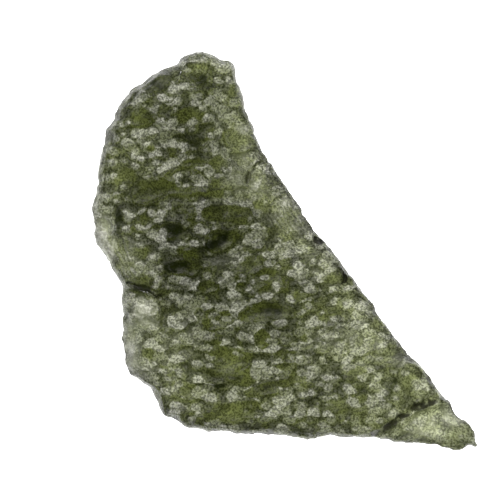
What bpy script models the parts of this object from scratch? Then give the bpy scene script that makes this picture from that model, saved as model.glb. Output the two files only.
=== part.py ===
"""Moldavite: one natural shard of green impact glass, etched all over, lying on its belly.

Run it with blender --background --python part.py, or from Blender's text editor.
The frame is +Z up, and its origin is under the middle of the stone's box, on the surface that it lies on.
Seen from above, the rounded head is at +Y, the broad heel at -Y and the thin beak points to +X and -Y.
Lengths are millimetres in the tables and formulas below, and metres in the finished mesh.
"""

from dataclasses import dataclass

import bpy
import numpy as np
from mathutils import Vector
from mathutils.geometry import delaunay_2d_cdt

MM = 0.001

# Driving sizes
HEIGHT_ACROSS = 36.0  # from head to heel, the outline's size along Y
UPPER_LEVEL = 5.25  # height of the upper face where nothing swells it
LOWER_LEVEL = 1.70  # height of the lower face where nothing swells it
RIM_RADIUS = 0.70  # how far in from the outline the upper face starts to turn over into the rim
UNDER_RIM_RADIUS = 2.0  # the same for the lower face, which rounds under more gently
RIM_CHIPPING = 0.45  # the share by which both come and go along the rim
RIM_CHIP_PITCH = 1.7
RIM_HEIGHT = 0.62  # where the outline lies between the lower face and the upper one, as a share
RIM_FOLLOWS = 0.5  # how much of that height follows the faces beside it, and not the levels above

# The mesh's fineness
RIM_STEPS = 3  # rings of points that round the rim, on each face
SPLINE_STEPS = 12  # points between neighbouring corners of the outline, before they are spaced evenly
UPPER_SPACING = 0.57  # distance between neighbouring points
LOWER_SPACING = 0.80
RIM_SPACING = 0.62
UPPER_MARGIN = 1.05  # how far inside the outline each face's lattice of points starts
LOWER_MARGIN = 1.20
RIDGE_MARGIN = 1.00  # the same for the points along the hollows' edges
RIDGE_GAP = 0.35  # how far the lattice and other edges keep from those points
SHARP_ANGLE = 40.0  # degrees between faces, past which an edge is shaded as a crease

# The outline seen from above, clockwise from the top of the head
OUTLINE = (
    (-7.2, 18.0), (-6.3, 17.6), (-5.5, 17.2), (-4.9, 17.2), (-4.3, 16.6),
    (-4.2, 15.6), (-3.7, 14.1), (-3.1, 12.1), (-2.6, 10.9), (-1.9, 9.1),
    (-0.7, 7.2), (0.7, 5.3), (1.6, 3.9), (1.9, 3.1), (3.4, 1.2),
    (4.3, 0.2), (5.6, -1.5), (7.0, -3.4), (7.9, -4.5), (8.4, -5.4),
    (9.9, -7.4), (11.4, -9.3), (13.0, -11.1), (14.2, -12.7), (15.0, -13.4),
    (15.2, -14.2), (15.6, -14.7), (16.2, -15.0), (16.8, -15.7), (17.2, -16.4),
    (17.4, -17.4), (17.2, -17.7), (16.5, -17.7), (16.0, -18.0), (15.2, -18.0),
    (14.3, -17.7), (12.9, -17.5), (9.9, -17.2), (6.8, -16.8), (5.3, -16.9),
    (4.2, -16.7), (3.2, -16.8), (2.5, -17.0), (1.0, -16.9), (-0.3, -16.7),
    (-1.7, -16.6), (-4.0, -16.6), (-5.1, -16.3), (-6.7, -16.3), (-7.6, -16.1),
    (-8.6, -16.0), (-9.3, -15.7), (-10.0, -15.2), (-10.7, -14.9), (-11.2, -14.2),
    (-11.6, -13.4), (-12.0, -12.4), (-12.6, -11.9), (-13.4, -11.4), (-14.0, -11.1),
    (-14.4, -10.5), (-14.5, -9.1), (-14.7, -8.1), (-14.7, -6.9), (-14.6, -5.7),
    (-14.7, -4.6), (-14.6, -3.4), (-14.9, -2.6), (-15.5, -1.8), (-16.2, -0.5),
    (-16.7, 0.1), (-17.1, 1.0), (-17.3, 2.5), (-17.4, 3.8), (-17.1, 5.0),
    (-16.8, 6.6), (-16.7, 7.6), (-16.5, 8.7), (-16.3, 9.8), (-16.0, 10.9),
    (-15.4, 11.8), (-15.3, 12.5), (-14.8, 13.3), (-14.4, 13.9), (-13.6, 14.7),
    (-12.6, 15.4), (-11.5, 16.1), (-10.6, 16.5), (-9.7, 16.9), (-9.3, 17.4),
    (-8.3, 17.8), (-7.6, 17.9),
)


@dataclass(frozen=True)
class Swell:
    """A broad rise of a face, or a broad dip where height is below 0."""

    x: float
    y: float
    reach_x: float
    reach_y: float
    height: float

    def over(self, x, y):
        """How much it raises the points."""
        along, across = (x - self.x) / self.reach_x, (y - self.y) / self.reach_y
        return self.height * np.exp(-(along**2) - across**2)


@dataclass(frozen=True)
class Hollow:
    """A scallop that etching has dished out, whose flat floor ends in a short steep lip and a crisp edge.

    lean shifts its deepest line towards its upper side.
    """

    x: float
    y: float
    half_length: float
    half_width: float
    turn: float
    depth: float
    lean: float = 0.0

    def over(self, x, y):
        """How deep it is at the points, and 0 outside it."""
        angle = np.radians(self.turn)
        along = ((x - self.x) * np.cos(angle) + (y - self.y) * np.sin(angle)) / self.half_length
        across = ((y - self.y) * np.cos(angle) - (x - self.x) * np.sin(angle)) / self.half_width
        chord = np.sqrt(np.clip(1 - along**2, 0, 1))
        place = np.divide(across, chord, out=np.full_like(across, 2.0), where=chord > 0)
        brow = np.clip((place - self.lean) / (1 - self.lean), 0, 1)
        lip = np.clip((self.lean - place) / (1 + self.lean), 0, 1)
        return self.depth * chord**2 * (1 - brow**2) * (1 - lip**4)

    def rim(self, spacing):
        """Points along its edge."""
        steps = max(8, int(4 * (self.half_length + self.half_width) / spacing))
        round_it = np.linspace(0, 2 * np.pi, steps, endpoint=False)
        along, across = self.half_length * np.cos(round_it), self.half_width * np.sin(round_it)
        angle = np.radians(self.turn)
        return np.column_stack(
            (
                self.x + along * np.cos(angle) - across * np.sin(angle),
                self.y + along * np.sin(angle) + across * np.cos(angle),
            )
        )


@dataclass(frozen=True)
class Step:
    """A ledge along a straight line, which drops on the right-hand side of the way from start to end.

    The face drops within run of the line, and climbs back over fade.
    """

    start: tuple
    end: tuple
    drop: float
    run: float
    fade: float

    def over(self, x, y):
        """How far the points drop."""
        start, way = np.array(self.start), np.subtract(self.end, self.start)
        length = np.hypot(*way)
        along = ((x - start[0]) * way[0] + (y - start[1]) * way[1]) / length
        right = ((x - start[0]) * way[1] - (y - start[1]) * way[0]) / length
        beyond = np.maximum(np.maximum(-along, along - length), 0)
        side = np.clip(right / self.run, 0, 1)
        climb = np.exp(-((np.maximum(right, 0) / self.fade) ** 2) - beyond**2)
        return self.drop * side * side * (3 - 2 * side) * climb


UPPER_SWELLS = (
    Swell(-9.2, 3.4, 6.2, 9.4, 1.75),  # the thick middle
    Swell(-10.6, 13.2, 4.2, 3.8, 1.55),  # the head
    Swell(-0.4, -6.2, 6.0, 4.4, 0.85),  # the shoulder beside the beak
    Swell(-2.4, -13.6, 6.5, 3.6, 0.75),  # the heel
    Swell(6.5, -14.8, 6.5, 3.2, 0.75),  # the root of the beak
    Swell(14.8, -16.0, 3.4, 2.6, -0.80),  # the beak thins out
    Swell(-14.2, -8.2, 1.8, 3.6, -1.30),  # the thin lower left side
    Swell(-16.4, 0.6, 1.4, 3.0, -0.90),  # the thin left side
    Swell(-12.6, -5.0, 1.5, 1.4, 0.55),  # the lump beside the left scar
    Swell(-2.6, 8.8, 2.4, 5.6, -1.00),  # the thin flank beside the head
    Swell(1.0, 2.8, 2.6, 3.6, -1.40),  # the flank further down
    Swell(5.2, -4.0, 2.6, 3.0, -0.55),
)
LOWER_SWELLS = (
    Swell(-4.8, -2.4, 9.0, 12.0, -1.95),  # the belly that it rests on
    Swell(-9.0, 14.0, 5.0, 3.0, -0.30),  # the underside of the head
    Swell(14.6, -16.0, 4.0, 3.0, 0.30),  # the beak lifts a little
)
RIM_SWELLS = (
    Swell(-16.6, 6.5, 1.6, 5.5, 1.05),  # the bevel down the left side
    Swell(-14.0, 14.2, 2.6, 2.2, 0.75),  # its run over the shoulder of the head
    Swell(-14.4, -8.6, 1.5, 2.6, 0.60),  # the blunt lower left side
    Swell(-11.4, -13.6, 1.8, 1.8, 0.50),  # the chipped lower left corner
)
UPPER_STEPS = (
    Step((8.1, -16.2), (13.8, -13.5), 0.60, 0.6, 2.4),  # the ledge across the root of the beak
    Step((-13.4, -3.2), (-10.0, -4.7), 0.60, 0.6, 1.3),  # the brow over the left lump
)
UPPER_HOLLOWS = (
    Hollow(-13.0, 12.0, 1.50, 0.95, 10, 0.34, -0.2),
    Hollow(-8.5, 12.0, 1.40, 0.60, 5, 0.28, 0.3),
    Hollow(-7.4, 15.7, 1.15, 1.30, 0, 0.44, 0.0),
    Hollow(-10.9, 15.2, 1.60, 0.65, 28, 0.26, 0.2),
    Hollow(-14.3, 6.8, 1.50, 0.70, 0, 0.29, -0.2),
    Hollow(-11.6, 5.5, 2.20, 1.20, 5, 0.43, -0.4),
    Hollow(-8.9, 3.9, 1.35, 0.55, -3, 0.29, -0.2),
    Hollow(-5.1, 3.5, 2.60, 0.95, 3, 0.40, 0.0),
    Hollow(-5.6, 0.8, 1.75, 0.85, 20, 0.50, 0.3),
    Hollow(-8.9, -1.5, 1.85, 0.85, -5, 0.50, 0.3),
    Hollow(-12.1, -2.7, 0.85, 0.95, 0, 0.40, 0.2),
    Hollow(-6.5, -3.2, 1.15, 0.70, 0, 0.31, 0.3),
    Hollow(-3.3, -3.3, 1.35, 0.70, -10, 0.31, 0.3),
    Hollow(-6.2, -6.0, 1.55, 1.05, 20, 0.36, 0.2),
    Hollow(-2.0, -5.5, 2.90, 0.95, 10, 0.42, 0.3),
    Hollow(-2.0, -7.8, 0.95, 0.80, 0, 0.30, 0.2),
    Hollow(-5.4, -9.8, 2.50, 1.35, 5, 0.42, 0.2),
    Hollow(-4.4, -14.2, 3.00, 1.05, 8, 0.37, 0.2),
    Hollow(-1.7, -12.1, 2.05, 0.70, 15, 0.29, 0.3),
    Hollow(1.4, -3.8, 1.80, 0.70, 10, 0.30, 0.3),
    Hollow(3.7, -4.9, 2.00, 0.75, 8, 0.37, 0.3),
    Hollow(-4.2, 9.9, 1.90, 1.00, -20, 0.36, -0.2),
    Hollow(-5.6, 5.9, 1.50, 0.65, 0, 0.24, 0.2),
    Hollow(7.2, -11.4, 2.30, 0.90, 5, 0.26, 0.2),
    Hollow(5.4, -13.7, 2.10, 0.85, 0, 0.28, 0.2),
    Hollow(2.1, -15.5, 1.80, 0.80, 0, 0.34, 0.3),
    Hollow(4.8, -8.6, 2.10, 0.85, 12, 0.28, 0.2),
    Hollow(10.2, -12.2, 1.60, 0.75, -30, 0.23, 0.2),
    Hollow(-10.9, -6.7, 1.20, 1.80, 0, 0.30, 0.0),
    Hollow(-14.6, -0.5, 1.25, 2.70, 8, 0.50, 0.0),
    Hollow(-12.1, -12.7, 2.60, 1.00, -46, 0.50, 0.0),
    Hollow(12.9, -15.9, 2.10, 1.15, -8, 0.24, 0.2),
    Hollow(1.0, 2.6, 1.30, 1.00, -50, 0.24, 0.0),
    Hollow(-1.6, 5.6, 1.40, 1.00, -40, 0.24, 0.0),
    Hollow(-12.6, 2.6, 1.60, 0.75, 12, 0.29, 0.3),
    Hollow(-11.0, 8.6, 1.90, 0.75, 4, 0.28, 0.2),
    Hollow(-8.2, 7.2, 1.60, 0.70, 0, 0.26, 0.2),
    Hollow(-2.4, 0.4, 1.60, 0.70, 12, 0.28, 0.2),
    Hollow(0.6, -1.2, 1.50, 0.65, 10, 0.24, 0.2),
    Hollow(-8.6, -12.6, 1.60, 0.80, 0, 0.30, 0.2),
    Hollow(0.4, -9.2, 1.60, 0.70, 8, 0.29, 0.2),
    Hollow(2.4, -12.0, 1.60, 0.70, 8, 0.26, 0.2),
    Hollow(-8.8, -7.6, 1.30, 0.80, 0, 0.30, 0.2),
)

# Between the hollows above, shallower scallops lie on a jittered lattice, as they do over the whole underside
SCALLOP_LENGTH, SCALLOP_WIDTH = 2.2, 1.3
SCALLOP_DEPTH = 0.30
UNDER_LENGTH, UNDER_WIDTH = 3.2, 2.3
UNDER_DEPTH = 0.42
SCALLOP_CURVE = 1.6  # how quickly a scallop shallows away from its middle
SCALLOP_SEED, UNDER_SEED = 3, 7
FLAT_FADE = 0.33  # the underside's scallops fade out this far above the flat spot

# Ledges and hollows wander by this much, so that none is straight or a true oval
WANDER_X, WANDER_Y = 0.50, 0.35
WANDER_PITCH = 2.1
WANDER_SEED = 11
RIM_SEED = 21

GLASS_COLOUR = (0.22, 0.27, 0.09, 1.0)


def smooth_closed_line(points, spacing):
    """Points every spacing along the smooth closed curve through the given ones, a Catmull-Rom spline."""
    before, here = np.roll(points, 1, axis=0), points
    after, later = np.roll(points, -1, axis=0), np.roll(points, -2, axis=0)
    t = np.linspace(0, 1, SPLINE_STEPS, endpoint=False)[None, :, None]
    curve = 0.5 * (
        2 * here[:, None]
        + (after - before)[:, None] * t
        + (2 * before - 5 * here + 4 * after - later)[:, None] * t**2
        + (3 * here - before - 3 * after + later)[:, None] * t**3
    )
    curve = curve.reshape(-1, 2)
    closed = np.vstack((curve, curve[:1]))
    travelled = np.concatenate(([0.0], np.cumsum(np.hypot(*np.diff(closed, axis=0).T))))
    stops = np.linspace(0, travelled[-1], int(round(travelled[-1] / spacing)), endpoint=False)
    return np.column_stack([np.interp(stops, travelled, closed[:, k]) for k in range(2)])


def distance_inside(points, line):
    """How far each point is from the closed line, and below 0 outside it."""
    ends = np.roll(line, -1, axis=0)
    way = ends - line
    nearest = np.full(len(points), np.inf)
    crossings = np.zeros(len(points), int)
    for start, end, step in zip(line, ends, way):
        share = np.clip((points - start) @ step / (step @ step), 0, 1)
        nearest = np.minimum(nearest, np.hypot(*(points - start - share[:, None] * step).T))
        spans = (start[1] > points[:, 1]) != (end[1] > points[:, 1])
        if spans.any():
            meets = start[0] + (points[:, 1] - start[1]) * step[0] / (step[1] or 1e-9)
            crossings += spans & (points[:, 0] < meets)
    return np.where(crossings % 2 == 1, nearest, -nearest)


def scattered(column, row, seed):
    """Whole numbers that look random, one for each place on a lattice."""
    key = (column * 374761393 + row * 668265263 + seed * 362437) & 0x7FFFFFFF
    key = ((key ^ (key >> 13)) * 1274126177) & 0x7FFFFFFF
    return key ^ (key >> 11)


def waves(x, y, pitch, seed):
    """Smooth random rises and falls, from -1 to 1."""
    column, row = np.floor(x / pitch).astype(int), np.floor(y / pitch).astype(int)
    right, up = x / pitch - column, y / pitch - row
    right, up = right * right * (3 - 2 * right), up * up * (3 - 2 * up)
    corner = [[(scattered(column + i, row + j, seed) & 0xFFFF) / 32767.5 - 1 for i in (0, 1)] for j in (0, 1)]
    lower = corner[0][0] * (1 - right) + corner[0][1] * right
    upper = corner[1][0] * (1 - right) + corner[1][1] * right
    return lower * (1 - up) + upper * up


def wandered(x, y):
    """The points moved a little each way."""
    return (
        x + WANDER_X * waves(x, y, WANDER_PITCH, WANDER_SEED),
        y + WANDER_Y * waves(x, y, WANDER_PITCH, WANDER_SEED + 1),
    )


def scallops(x, y, length, width, seed):
    """Dished cells of about that size, 1 deep at most, that meet in crisp ridges."""
    along, across = x / length, y / width
    column, row = np.floor(along).astype(int), np.floor(across).astype(int)
    nearest = np.full(x.shape, np.inf)
    for right in (-1, 0, 1):
        for up in (-1, 0, 1):
            key = scattered(column + right, row + up, seed)
            middle_x = column + right + (key & 1023) / 1023
            middle_y = row + up + ((key >> 10) & 1023) / 1023
            nearest = np.minimum(nearest, np.hypot(along - middle_x, across - middle_y))
    return np.clip(1 - SCALLOP_CURVE * nearest**2, 0, 1)


def deepest(hollows, x, y):
    """The deepest of the hollows at each point, so that neighbours meet in a crisp ridge."""
    return np.max([hollow.over(x, y) for hollow in hollows], axis=0)


def upper_face(x, y):
    """Height of the upper face, as if it had no rim."""
    x, y = wandered(x, y)
    level = UPPER_LEVEL + sum(swell.over(x, y) for swell in UPPER_SWELLS)
    level -= sum(step.over(x, y) for step in UPPER_STEPS)
    small = SCALLOP_DEPTH * scallops(x, y, SCALLOP_LENGTH, SCALLOP_WIDTH, SCALLOP_SEED)
    return level - np.maximum(deepest(UPPER_HOLLOWS, x, y), small)


def lower_face(x, y):
    """Height of the lower face, as if it had no rim. It is worn flat where it rests."""
    level = LOWER_LEVEL + sum(swell.over(x, y) for swell in LOWER_SWELLS)
    dished = UNDER_DEPTH * scallops(*wandered(x, y), UNDER_LENGTH, UNDER_WIDTH, UNDER_SEED)
    return np.maximum(level + dished * np.clip(level / FLAT_FADE, 0, 1), 0.0)


def rim_turn(inside, radius):
    """From 0 at the outline to 1 where the face begins, as a quarter of an ellipse."""
    return np.sqrt(np.clip(1 - (1 - np.clip(inside / radius, 0, 1)) ** 2, 0, 1))


def heights(points, inside, upper):
    """Height of the finished upper or lower face at points that are that far inside the outline."""
    x, y = points.T
    top, bottom = upper_face(x, y), lower_face(x, y)
    edge = LOWER_LEVEL + RIM_HEIGHT * (UPPER_LEVEL - LOWER_LEVEL)
    beside = bottom + RIM_HEIGHT * (top - bottom)
    middle = edge + RIM_FOLLOWS * (beside - edge)
    chipped = 1 + RIM_CHIPPING * waves(x, y, RIM_CHIP_PITCH, RIM_SEED + upper)
    bevel = sum(swell.over(x, y) for swell in RIM_SWELLS)
    if upper:
        return middle + (top - middle) * rim_turn(inside, RIM_RADIUS * chipped + bevel)
    return middle + (bottom - middle) * rim_turn(inside, UNDER_RIM_RADIUS * chipped)


def rim_rings(outline):
    """Rings of points just inside the outline, closer together towards it."""
    ahead, behind = np.roll(outline, -1, axis=0), np.roll(outline, 1, axis=0)
    way = ahead - behind
    inward = np.column_stack((way[:, 1], -way[:, 0])) / np.hypot(*way.T)[:, None]
    rings = []
    for k in range(1, RIM_STEPS + 1):
        depth = RIM_RADIUS * (1 - np.cos(0.5 * np.pi * k / RIM_STEPS))
        ring = outline + inward * depth
        rings.append(ring[distance_inside(ring, outline) > 0.9 * depth])
    return np.vstack(rings)


def hexagon_grid(spacing, outline, margin):
    """Points on a triangular lattice that are at least margin inside the outline."""
    low, high = outline.min(axis=0), outline.max(axis=0)
    rows = np.arange(low[1], high[1], spacing * np.sqrt(0.75))
    lines = []
    for k, y in enumerate(rows):
        xs = np.arange(low[0] + (k % 2) * spacing / 2, high[0], spacing)
        lines.append(np.column_stack((xs, np.full(len(xs), y))))
    points = np.vstack(lines)
    return points[distance_inside(points, outline) > margin]


def thinned(points, kept, gap):
    """The points that are at least gap from every kept one."""
    clear = np.ones(len(points), bool)
    for place in kept:
        clear &= np.hypot(*(points - place).T) > gap
    return points[clear]


def ridge_points(outline):
    """Points along the crisp edges of the hollows, where the mesh has to crease."""
    found = np.empty((0, 2))
    for hollow in UPPER_HOLLOWS:
        rim = hollow.rim(UPPER_SPACING)
        rim = 2 * rim - np.column_stack(wandered(*rim.T))
        rim = rim[distance_inside(rim, outline) > RIDGE_MARGIN]
        found = np.vstack((found, thinned(rim, found, RIDGE_GAP)))
    return found


def triangles(outline, inner):
    """The outline's points, then the inner ones, and the triangles that fill the outline through them."""
    points = [Vector(p) for p in np.vstack((outline, inner))]
    edges = [(k, (k + 1) % len(outline)) for k in range(len(outline))]
    made, _, faces, origins, _, _ = delaunay_2d_cdt(points, edges, [], 1, 1e-5)
    order = np.full(len(made), -1)
    for k, origin in enumerate(origins):
        order[k] = origin[0]
    flat = np.array([tuple(p) for p in made])
    back = np.argsort(order)
    place = np.empty(len(made), int)
    place[back] = np.arange(len(made))
    return flat[back], [[int(place[k]) for k in face] for face in faces]


def face_sheet(outline, inner, upper):
    """One face of the stone as points in space and triangles that look outwards."""
    flat, faces = triangles(outline, inner)
    inside = np.maximum(distance_inside(flat, outline), 0)
    inside[: len(outline)] = 0
    height = heights(flat, inside, upper)
    if not upper:
        faces = [face[::-1] for face in faces]
    return np.column_stack((flat, height)), faces


def stone_mesh():
    """The whole stone as one closed mesh: both faces, sewn together along the outline."""
    outline = smooth_closed_line(np.array(OUTLINE), RIM_SPACING)
    outline *= HEIGHT_ACROSS / np.ptp(outline[:, 1])
    rings = rim_rings(outline)
    ridges = ridge_points(outline)
    upper_grid = thinned(hexagon_grid(UPPER_SPACING, outline, UPPER_MARGIN), ridges, RIDGE_GAP)
    top, top_faces = face_sheet(outline, np.vstack((rings, ridges, upper_grid)), True)
    lower_grid = hexagon_grid(LOWER_SPACING, outline, LOWER_MARGIN)
    bottom, bottom_faces = face_sheet(outline, np.vstack((rings, lower_grid)), False)
    shared = len(outline)
    moved = [[k if k < shared else k - shared + len(top) for k in face] for face in bottom_faces]
    points = np.vstack((top, bottom[shared:]))
    points[:, :2] -= 0.5 * (points[:, :2].min(axis=0) + points[:, :2].max(axis=0))
    mesh = bpy.data.meshes.new("moldavite")
    mesh.from_pydata((points * MM).tolist(), [], top_faces + moved)
    mesh.validate()
    mesh.shade_smooth()
    mesh.set_sharp_from_angle(angle=np.radians(SHARP_ANGLE))
    return mesh


def green_glass():
    """The stone's own clear olive green glass."""
    material = bpy.data.materials.new("green_glass")
    material.use_nodes = True
    shader = material.node_tree.nodes["Principled BSDF"]
    shader.inputs["Base Color"].default_value = GLASS_COLOUR
    shader.inputs["Roughness"].default_value = 0.28
    shader.inputs["Metallic"].default_value = 0.0
    shader.inputs["IOR"].default_value = 1.49
    shader.inputs["Transmission Weight"].default_value = 0.85
    return material


def main():
    """Clears the scene and adds the stone to it."""
    for old in list(bpy.data.objects):
        bpy.data.objects.remove(old)
    mesh = stone_mesh()
    mesh.materials.append(green_glass())
    stone = bpy.data.objects.new("moldavite", mesh)
    bpy.context.scene.collection.objects.link(stone)


main()
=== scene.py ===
"""Moldavite: a shard of green impact glass with an etched skin, dressed and lit as on a white table.

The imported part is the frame. One finely modelled piece stands in for its solid: the same outline and the
same two faces, with the etched pebbles, ripples, cracks and pits that only show close up.
Lengths in the classes that shape the stone's faces are millimetres, as in the part's own tables. The etching,
the glass, the studio and the finished mesh are in metres.
"""

from __future__ import annotations

import logging
from collections.abc import Iterable
from dataclasses import dataclass, field
from enum import Enum
from typing import Any, Protocol

import bpy
import numpy as np
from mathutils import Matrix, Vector
from mathutils.geometry import delaunay_2d_cdt
from mathutils.kdtree import KDTree

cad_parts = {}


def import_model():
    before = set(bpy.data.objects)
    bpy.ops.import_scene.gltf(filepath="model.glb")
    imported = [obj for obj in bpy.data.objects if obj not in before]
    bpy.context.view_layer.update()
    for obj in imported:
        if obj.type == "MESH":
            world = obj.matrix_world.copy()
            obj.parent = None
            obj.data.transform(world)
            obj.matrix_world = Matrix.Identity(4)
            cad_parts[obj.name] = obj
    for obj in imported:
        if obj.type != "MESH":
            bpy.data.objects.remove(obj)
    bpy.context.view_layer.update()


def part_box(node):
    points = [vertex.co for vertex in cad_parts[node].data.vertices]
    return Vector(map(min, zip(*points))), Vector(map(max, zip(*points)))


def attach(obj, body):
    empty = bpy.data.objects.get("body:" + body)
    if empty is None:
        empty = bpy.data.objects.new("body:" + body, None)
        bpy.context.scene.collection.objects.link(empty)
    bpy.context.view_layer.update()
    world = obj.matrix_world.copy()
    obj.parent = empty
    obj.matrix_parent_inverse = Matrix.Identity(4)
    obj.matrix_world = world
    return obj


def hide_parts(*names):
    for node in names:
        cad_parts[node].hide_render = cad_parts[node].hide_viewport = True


LOG = logging.getLogger("moldavite")
MM = 0.001
NODE = "moldavite"

# the factors, shifts and masks that turn a place on a lattice into a number that looks random
COLUMN_FACTOR, ROW_FACTOR, SEED_FACTOR, MIX_FACTOR = 374761393, 668265263, 362437, 1274126177
EARLY_SHIFT, LATE_SHIFT = 13, 11
KEY_MASK, WAVE_MASK, CELL_MASK = 0x7FFFFFFF, 0xFFFF, 0x3FF
CELL_BITS = 10

# the rows of a lattice of even triangles lie this share of its spacing apart
ROW_SHARE = np.sqrt(0.75)

# the middle of what a noise texture gives
NOISE_MIDDLE = 0.5

Array = np.ndarray
Place = tuple[float, float]
Range = tuple[float, float]
Tint = tuple[float, float, float]
Socket = bpy.types.NodeSocket


class Mask(Enum):
    """The values that the mesh carries for its finish, one number from 0 to 1 at each point."""

    POLISH = "polish"
    # painted shade in the cracks and creases
    PAINTED_CREASE_SHADE = "painted_crease_shade"
    # painted shade in broad patches
    PAINTED_SHADE = "painted_shade"
    # frost, with painted highlight in the colour
    FROST_AND_HIGHLIGHT = "frost_and_highlight"
    BLOOM = "bloom"
    PEBBLE = "pebble"


def scattered(column: Array, row: Array, seed: int) -> Array:
    """Whole numbers that look random, one for each place on a lattice.

    Args:
        column: The lattice columns.
        row: The lattice rows.
        seed: Which random pattern.

    Returns:
        The numbers, as an array of the same shape.
    """
    key = (column * COLUMN_FACTOR + row * ROW_FACTOR + seed * SEED_FACTOR) & KEY_MASK
    key = ((key ^ (key >> EARLY_SHIFT)) * MIX_FACTOR) & KEY_MASK
    return key ^ (key >> LATE_SHIFT)


def eased(share: Array) -> Array:
    """The share from 0 to 1, with a gentle start and end."""
    share = np.clip(share, 0, 1)
    return share * share * (3 - 2 * share)


def waves(x: Array, y: Array, pitch: float, seed: int) -> Array:
    """Smooth random rises and falls, from -1 to 1.

    Args:
        x: Places along X.
        y: Places along Y.
        pitch: The distance from one rise to the next.
        seed: Which random pattern.

    Returns:
        The rise at each place.
    """
    column, row = np.floor(x / pitch).astype(int), np.floor(y / pitch).astype(int)
    right, up = eased(x / pitch - column), eased(y / pitch - row)
    corner = [
        [(scattered(column + i, row + j, seed) & WAVE_MASK) / (WAVE_MASK / 2) - 1 for i in (0, 1)]
        for j in (0, 1)
    ]
    lower = corner[0][0] * (1 - right) + corner[0][1] * right
    upper = corner[1][0] * (1 - right) + corner[1][1] * right
    return lower * (1 - up) + upper * up


class Mark(Protocol):
    """Anything that raises, lowers or colours places on the stone."""

    def over(self, x: Array, y: Array) -> Array:
        """How much it does at the places."""


def total(marks: Iterable[Mark], x: Array, y: Array, start: Array | float = 0.0) -> Array:
    """The start, plus what each of the marks adds at the places."""
    return sum((mark.over(x, y) for mark in marks), start)


@dataclass(frozen=True)
class Unevenness:
    """Smooth random rises and falls, up to the height either way, and drawn out along X by the stretch."""

    pitch: float
    height: float
    seed: int
    stretch: float = 1.0

    def over(self, x: Array, y: Array) -> Array:
        """The rise or fall at the places."""
        return self.height * waves(x / self.stretch, y, self.pitch, self.seed)


@dataclass(frozen=True)
class Scallops:
    """Dished cells that cover a face and meet in crisp ridges."""

    length: float
    width: float
    depth: float
    seed: int
    steepness: float = 1.6

    def over(self, x: Array, y: Array) -> Array:
        """How deep the cells are at the places.

        Args:
            x: Places along X.
            y: Places along Y.

        Returns:
            The depth of each place, and 0 on the ridges.
        """
        along, across = x / self.length, y / self.width
        column, row = np.floor(along).astype(int), np.floor(across).astype(int)
        nearest = np.full(x.shape, np.inf)
        for right in (-1, 0, 1):
            for up in (-1, 0, 1):
                key = scattered(column + right, row + up, self.seed)
                middle_x = column + right + (key & CELL_MASK) / CELL_MASK
                middle_y = row + up + ((key >> CELL_BITS) & CELL_MASK) / CELL_MASK
                nearest = np.minimum(nearest, np.hypot(along - middle_x, across - middle_y))
        return self.depth * np.clip(1 - self.steepness * nearest**2, 0, 1)


@dataclass(frozen=True)
class Swell:
    """A broad rise of a face or a soft cloud on it, or a broad dip where height is below 0."""

    x: float
    y: float
    reach_x: float
    reach_y: float
    height: float

    def over(self, x: Array, y: Array) -> Array:
        """How much it raises the places."""
        along, across = (x - self.x) / self.reach_x, (y - self.y) / self.reach_y
        return self.height * np.exp(-(along**2) - across**2)


@dataclass(frozen=True)
class Hollow:
    """A scallop that etching has dished out, whose flat floor ends in a short steep lip and a crisp edge.

    turn is in degrees, lean shifts its deepest line towards its upper side, and polish is how smooth its
    floor is.
    """

    x: float
    y: float
    half_length: float
    half_width: float
    turn: float
    depth: float
    lean: float = 0.0
    polish: float = 0.35

    def over(self, x: Array, y: Array) -> Array:
        """How deep it is at the places.

        Args:
            x: Places along X.
            y: Places along Y.

        Returns:
            The depth of each place, and 0 outside it.
        """
        angle = np.radians(self.turn)
        along = ((x - self.x) * np.cos(angle) + (y - self.y) * np.sin(angle)) / self.half_length
        across = ((y - self.y) * np.cos(angle) - (x - self.x) * np.sin(angle)) / self.half_width
        chord = np.sqrt(np.clip(1 - along**2, 0, 1))
        place = np.divide(across, chord, out=np.full_like(across, np.inf), where=chord > 0)
        brow = np.clip((place - self.lean) / (1 - self.lean), 0, 1)
        lip = np.clip((self.lean - place) / (1 + self.lean), 0, 1)
        return self.depth * chord**2 * (1 - brow**2) * (1 - lip**4)


@dataclass(frozen=True)
class Ledge:
    """A step along a straight line.

    The face drops on the right-hand side of the way from start to end, over the run, and climbs back over
    fade. Past either end the step dies out over end_fade.
    """

    start: Place
    end: Place
    drop: float
    run: float
    fade: float
    end_fade: float = 1.0

    def over(self, x: Array, y: Array) -> Array:
        """How far the places drop.

        Args:
            x: Places along X.
            y: Places along Y.

        Returns:
            The drop of each place.
        """
        start, way = np.array(self.start), np.subtract(self.end, self.start)
        length = np.hypot(*way)
        along = ((x - start[0]) * way[0] + (y - start[1]) * way[1]) / length
        right = ((x - start[0]) * way[1] - (y - start[1]) * way[0]) / length
        beyond = np.maximum(np.maximum(-along, along - length), 0) / self.end_fade
        fall = np.exp(-((np.maximum(right, 0) / self.fade) ** 2) - beyond**2)
        return self.drop * eased(right / self.run) * fall


@dataclass(frozen=True)
class Trail:
    """A line across the skin, such as a crack or a fine crest. Its height is below 0 where it is cut in.

    dark is how much painted shade lies in it.
    """

    points: tuple[Place, ...]
    half_width: float
    height: float
    dark: float = 0.0

    def nearness(self, x: Array, y: Array) -> Array:
        """How near the places are to the line.

        Args:
            x: Places along X.
            y: Places along Y.

        Returns:
            1 on the line, and 0 from half_width away.
        """
        nearest = np.full(x.shape, np.inf)
        for start, end in zip(self.points, self.points[1:]):
            way = np.subtract(end, start)
            share = np.clip(((x - start[0]) * way[0] + (y - start[1]) * way[1]) / (way @ way), 0, 1)
            off_x, off_y = x - start[0] - share * way[0], y - start[1] - share * way[1]
            nearest = np.minimum(nearest, np.hypot(off_x, off_y))
        return np.clip(1 - nearest / self.half_width, 0, 1)

    def over(self, x: Array, y: Array) -> Array:
        """How much it raises the places."""
        return self.height * eased(self.nearness(x, y))


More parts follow.
